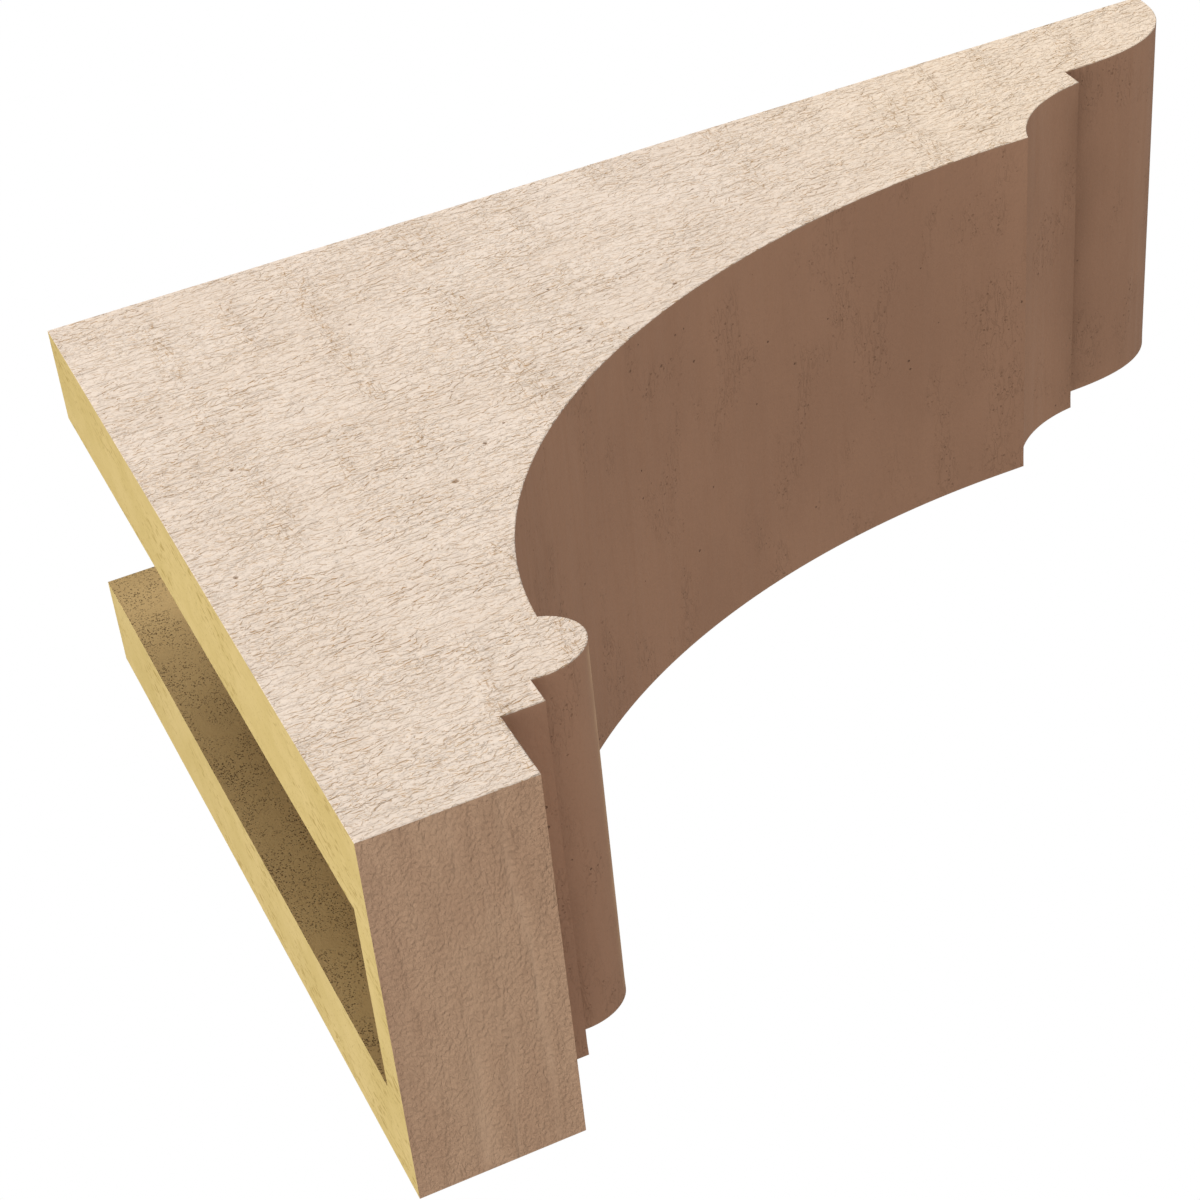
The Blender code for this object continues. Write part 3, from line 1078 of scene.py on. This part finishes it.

# %% [markdown]
# ## Raw foam
#
# Rigid polyurethane foam is straw yellow when new. Both finishes are the same foam with other tones:
# the tones inside the hollow are painted darker and browner, for the shade in it. In both, cells show
# as fine grain, and bubbles as spots that are dark and deep.

# %% Foam finishes
def foam_finish(name, tones, bubble, amounts, distance):
    """Foam in two tones; amounts are its bubbles' share, size and darkness, and its scratches."""
    share, size, darkness, scratches = amounts
    made, tree, shader, layer = new_finish(name)
    tone = layer(TONE, Stretch=(30.0, 25.0, 25.0), First=light(*tones[0]), Second=light(*tones[1]))["Colour"]
    streak = layer(GRAIN, Stretch=(420.0, 160.0, 160.0), Bend=0.6, Low=0.5, High=0.68)["Lines"]
    patch = layer(GRAIN, Stretch=(38.0, 16.0, 16.0), Low=0.4, High=0.64)["Lines"]
    cells = layer(GRAIN, Stretch=(600.0, 600.0, 600.0), Low=0.45, High=0.7)
    cluster = layer(GRAIN, Stretch=(60.0, 60.0, 45.0), Low=0.32, High=0.56)["Lines"]
    bubbles = layer(SPOTS, Per_metre=1050.0, Size=size, Share=share)["Spots"]
    spotted = times(tree, bubbles, cluster)
    colour = cover(tree, tone, (streak, remap(tree, patch, 0.0, 1.0, 0.1 * scratches, scratches), bubble),
                   (cells["Lines"], 0.3, tones[1]), (spotted, darkness, bubble))
    height = total(tree, (cells["Plain"], 0.5), (spotted, -1.0))
    dress(tree, shader, colour, remap(tree, cells["Plain"], 0.3, 0.7, 0.80, 0.95), height, distance)
    return made


rim_foam = foam_finish("Struck foam", ((229, 206, 142), (220, 197, 130)), (186, 160, 92),
                       (0.3, 0.34, 0.5, 0.9), 0.15 * MM)
# Painted shade: these tones are the rim foam's, made darker and browner for the shade inside the hollow.
hollow_foam = foam_finish("Cast foam", ((193, 166, 116), (186, 159, 110)), (100, 79, 50),
                          (0.9, 0.46, 0.8, 0.0), 0.4 * MM)
print("foam finishes:", rim_foam.name, hollow_foam.name)

# %% Give the skin its finishes
for finish in (sawn_primer, moulded_primer, pebbled_primer, rim_foam, hollow_foam):
    corbel.data.materials.append(finish)
print("finishes on the skin:", [m.name for m in corbel.data.materials])

# %% [markdown]
# ## Light and floor
#
# The picture is a cut-out on white, lit from high on the near side: the sawn side is bright, the
# curved faces underneath only get what the room gives back. One broad soft lamp does the first,
# a dim warm surrounding and a weak low lamp do the second, and a weak lamp in front gives the bead
# and the nose their slight shine. One lamp lights the raw back and another the far side. The
# surroundings look white to the camera but light the corbel less.

# %% Surroundings
WARM, WHITE = (1.0, 0.93, 0.86, 1.0), (1.0, 1.0, 1.0, 1.0)
AMBIENT = 0.28
world = bpy.data.worlds.new("Studio")
bpy.context.scene.world = world
world.use_nodes = True
tree = world.node_tree
tree.nodes.clear()
path = put(tree, "ShaderNodeLightPath")
ambient, backdrop = put(tree, "ShaderNodeBackground"), put(tree, "ShaderNodeBackground")
for glow, colour, strength in ((ambient, WARM, AMBIENT), (backdrop, WHITE, 1.0)):
    glow.inputs["Color"].default_value = colour
    glow.inputs["Strength"].default_value = strength
either = put(tree, "ShaderNodeMixShader")
join(tree, path.outputs["Is Camera Ray"], either.inputs[0])
join(tree, ambient.outputs[0], either.inputs[1])
join(tree, backdrop.outputs[0], either.inputs[2])
join(tree, either.outputs[0], put(tree, "ShaderNodeOutputWorld").inputs[0])
print("surroundings give", AMBIENT, "of white")

# %% Lamps
MIDDLE = (CAD_LOW + CAD_HIGH) / 2


def lamp(name, direction, distance, size, power, colour):
    """A soft square lamp that looks at the middle of the corbel."""
    data = bpy.data.lights.new(name, "AREA")
    data.size, data.energy, data.color = size, power, colour
    made = bpy.data.objects.new(name, data)
    way = Vector(direction).normalized()
    made.location = MIDDLE + way * distance
    made.rotation_euler = way.to_track_quat("Z", "Y").to_euler()
    bpy.context.scene.collection.objects.link(made)


lamp("Key", (-0.78, -0.04, 0.62), 3.4, 2.4, 82.0, (1.0, 0.98, 0.97))
lamp("Back", (-0.20, 1.0, -0.1), 2.6, 1.2, 34.5, (1.0, 0.97, 0.92))
lamp("Front glow", (0.5, -1.0, 0.05), 2.4, 0.8, 3.4, (1.0, 0.86, 0.72))
lamp("Low fill", (-0.8, -0.06, -0.5), 2.6, 0.5, 9.0, (1.0, 0.96, 0.93))
lamp("Far fill", (1.0, 0.0, 0.45), 3.0, 2.0, 20.0, (1.0, 0.98, 0.96))

# %% Floor
FLOOR_DROP = 2.2
FLOOR_HALF = 7.0
FLOOR_COLOUR = (0.86, 0.86, 0.86, 1.0)
floor_mesh = bpy.data.meshes.new("floor")
corners = [(x * FLOOR_HALF, y * FLOOR_HALF, -FLOOR_DROP) for x, y in ((-1, -1), (1, -1), (1, 1), (-1, 1))]
floor_mesh.from_pydata(corners, [], [(0, 1, 2, 3)])
floor = bpy.data.objects.new("floor", floor_mesh)
bpy.context.scene.collection.objects.link(floor)
floor_paint = bpy.data.materials.new("Floor")
floor_paint.use_nodes = True
paint = floor_paint.node_tree.nodes["Principled BSDF"].inputs
paint["Base Color"].default_value = FLOOR_COLOUR
paint["Roughness"].default_value = 0.9
floor.data.materials.append(floor_paint)
print("floor", FLOOR_DROP, "m below the mount")

# %% [markdown]
# ## The camera
#
# The corbel lies tilted in the picture, seen from below and from its wall end. The camera stands
# about 1.15 m away, low and behind the wall plane, with a short telephoto lens, and is turned about
# its own axis, which is what tilts the corbel.

# %% Camera
LENS = 85.0
CAMERA_PLACE = Vector((-0.815, 0.1884, -0.7662))
CAMERA_AIM = Vector((-0.1019, -0.14, 0.0741))
CAMERA_ROLL = math.radians(-38.162)
eye = bpy.data.objects.new("Camera", bpy.data.cameras.new("Camera"))
eye.data.lens = LENS
eye.data.clip_start, eye.data.clip_end = 0.05, 50.0
eye.location = CAMERA_PLACE
level_turn = (CAMERA_AIM - CAMERA_PLACE).to_track_quat("-Z", "Y")
eye.rotation_euler = (level_turn @ Euler((0.0, 0.0, CAMERA_ROLL)).to_quaternion()).to_euler()
bpy.context.scene.collection.objects.link(eye)
bpy.context.scene.camera = eye
bpy.context.scene.view_settings.view_transform = "Standard"
bpy.context.view_layer.update()
turn = eye.matrix_world.to_3x3()
print("camera right:", [round(v, 3) for v in turn.col[0]], "up:", [round(v, 3) for v in turn.col[1]])
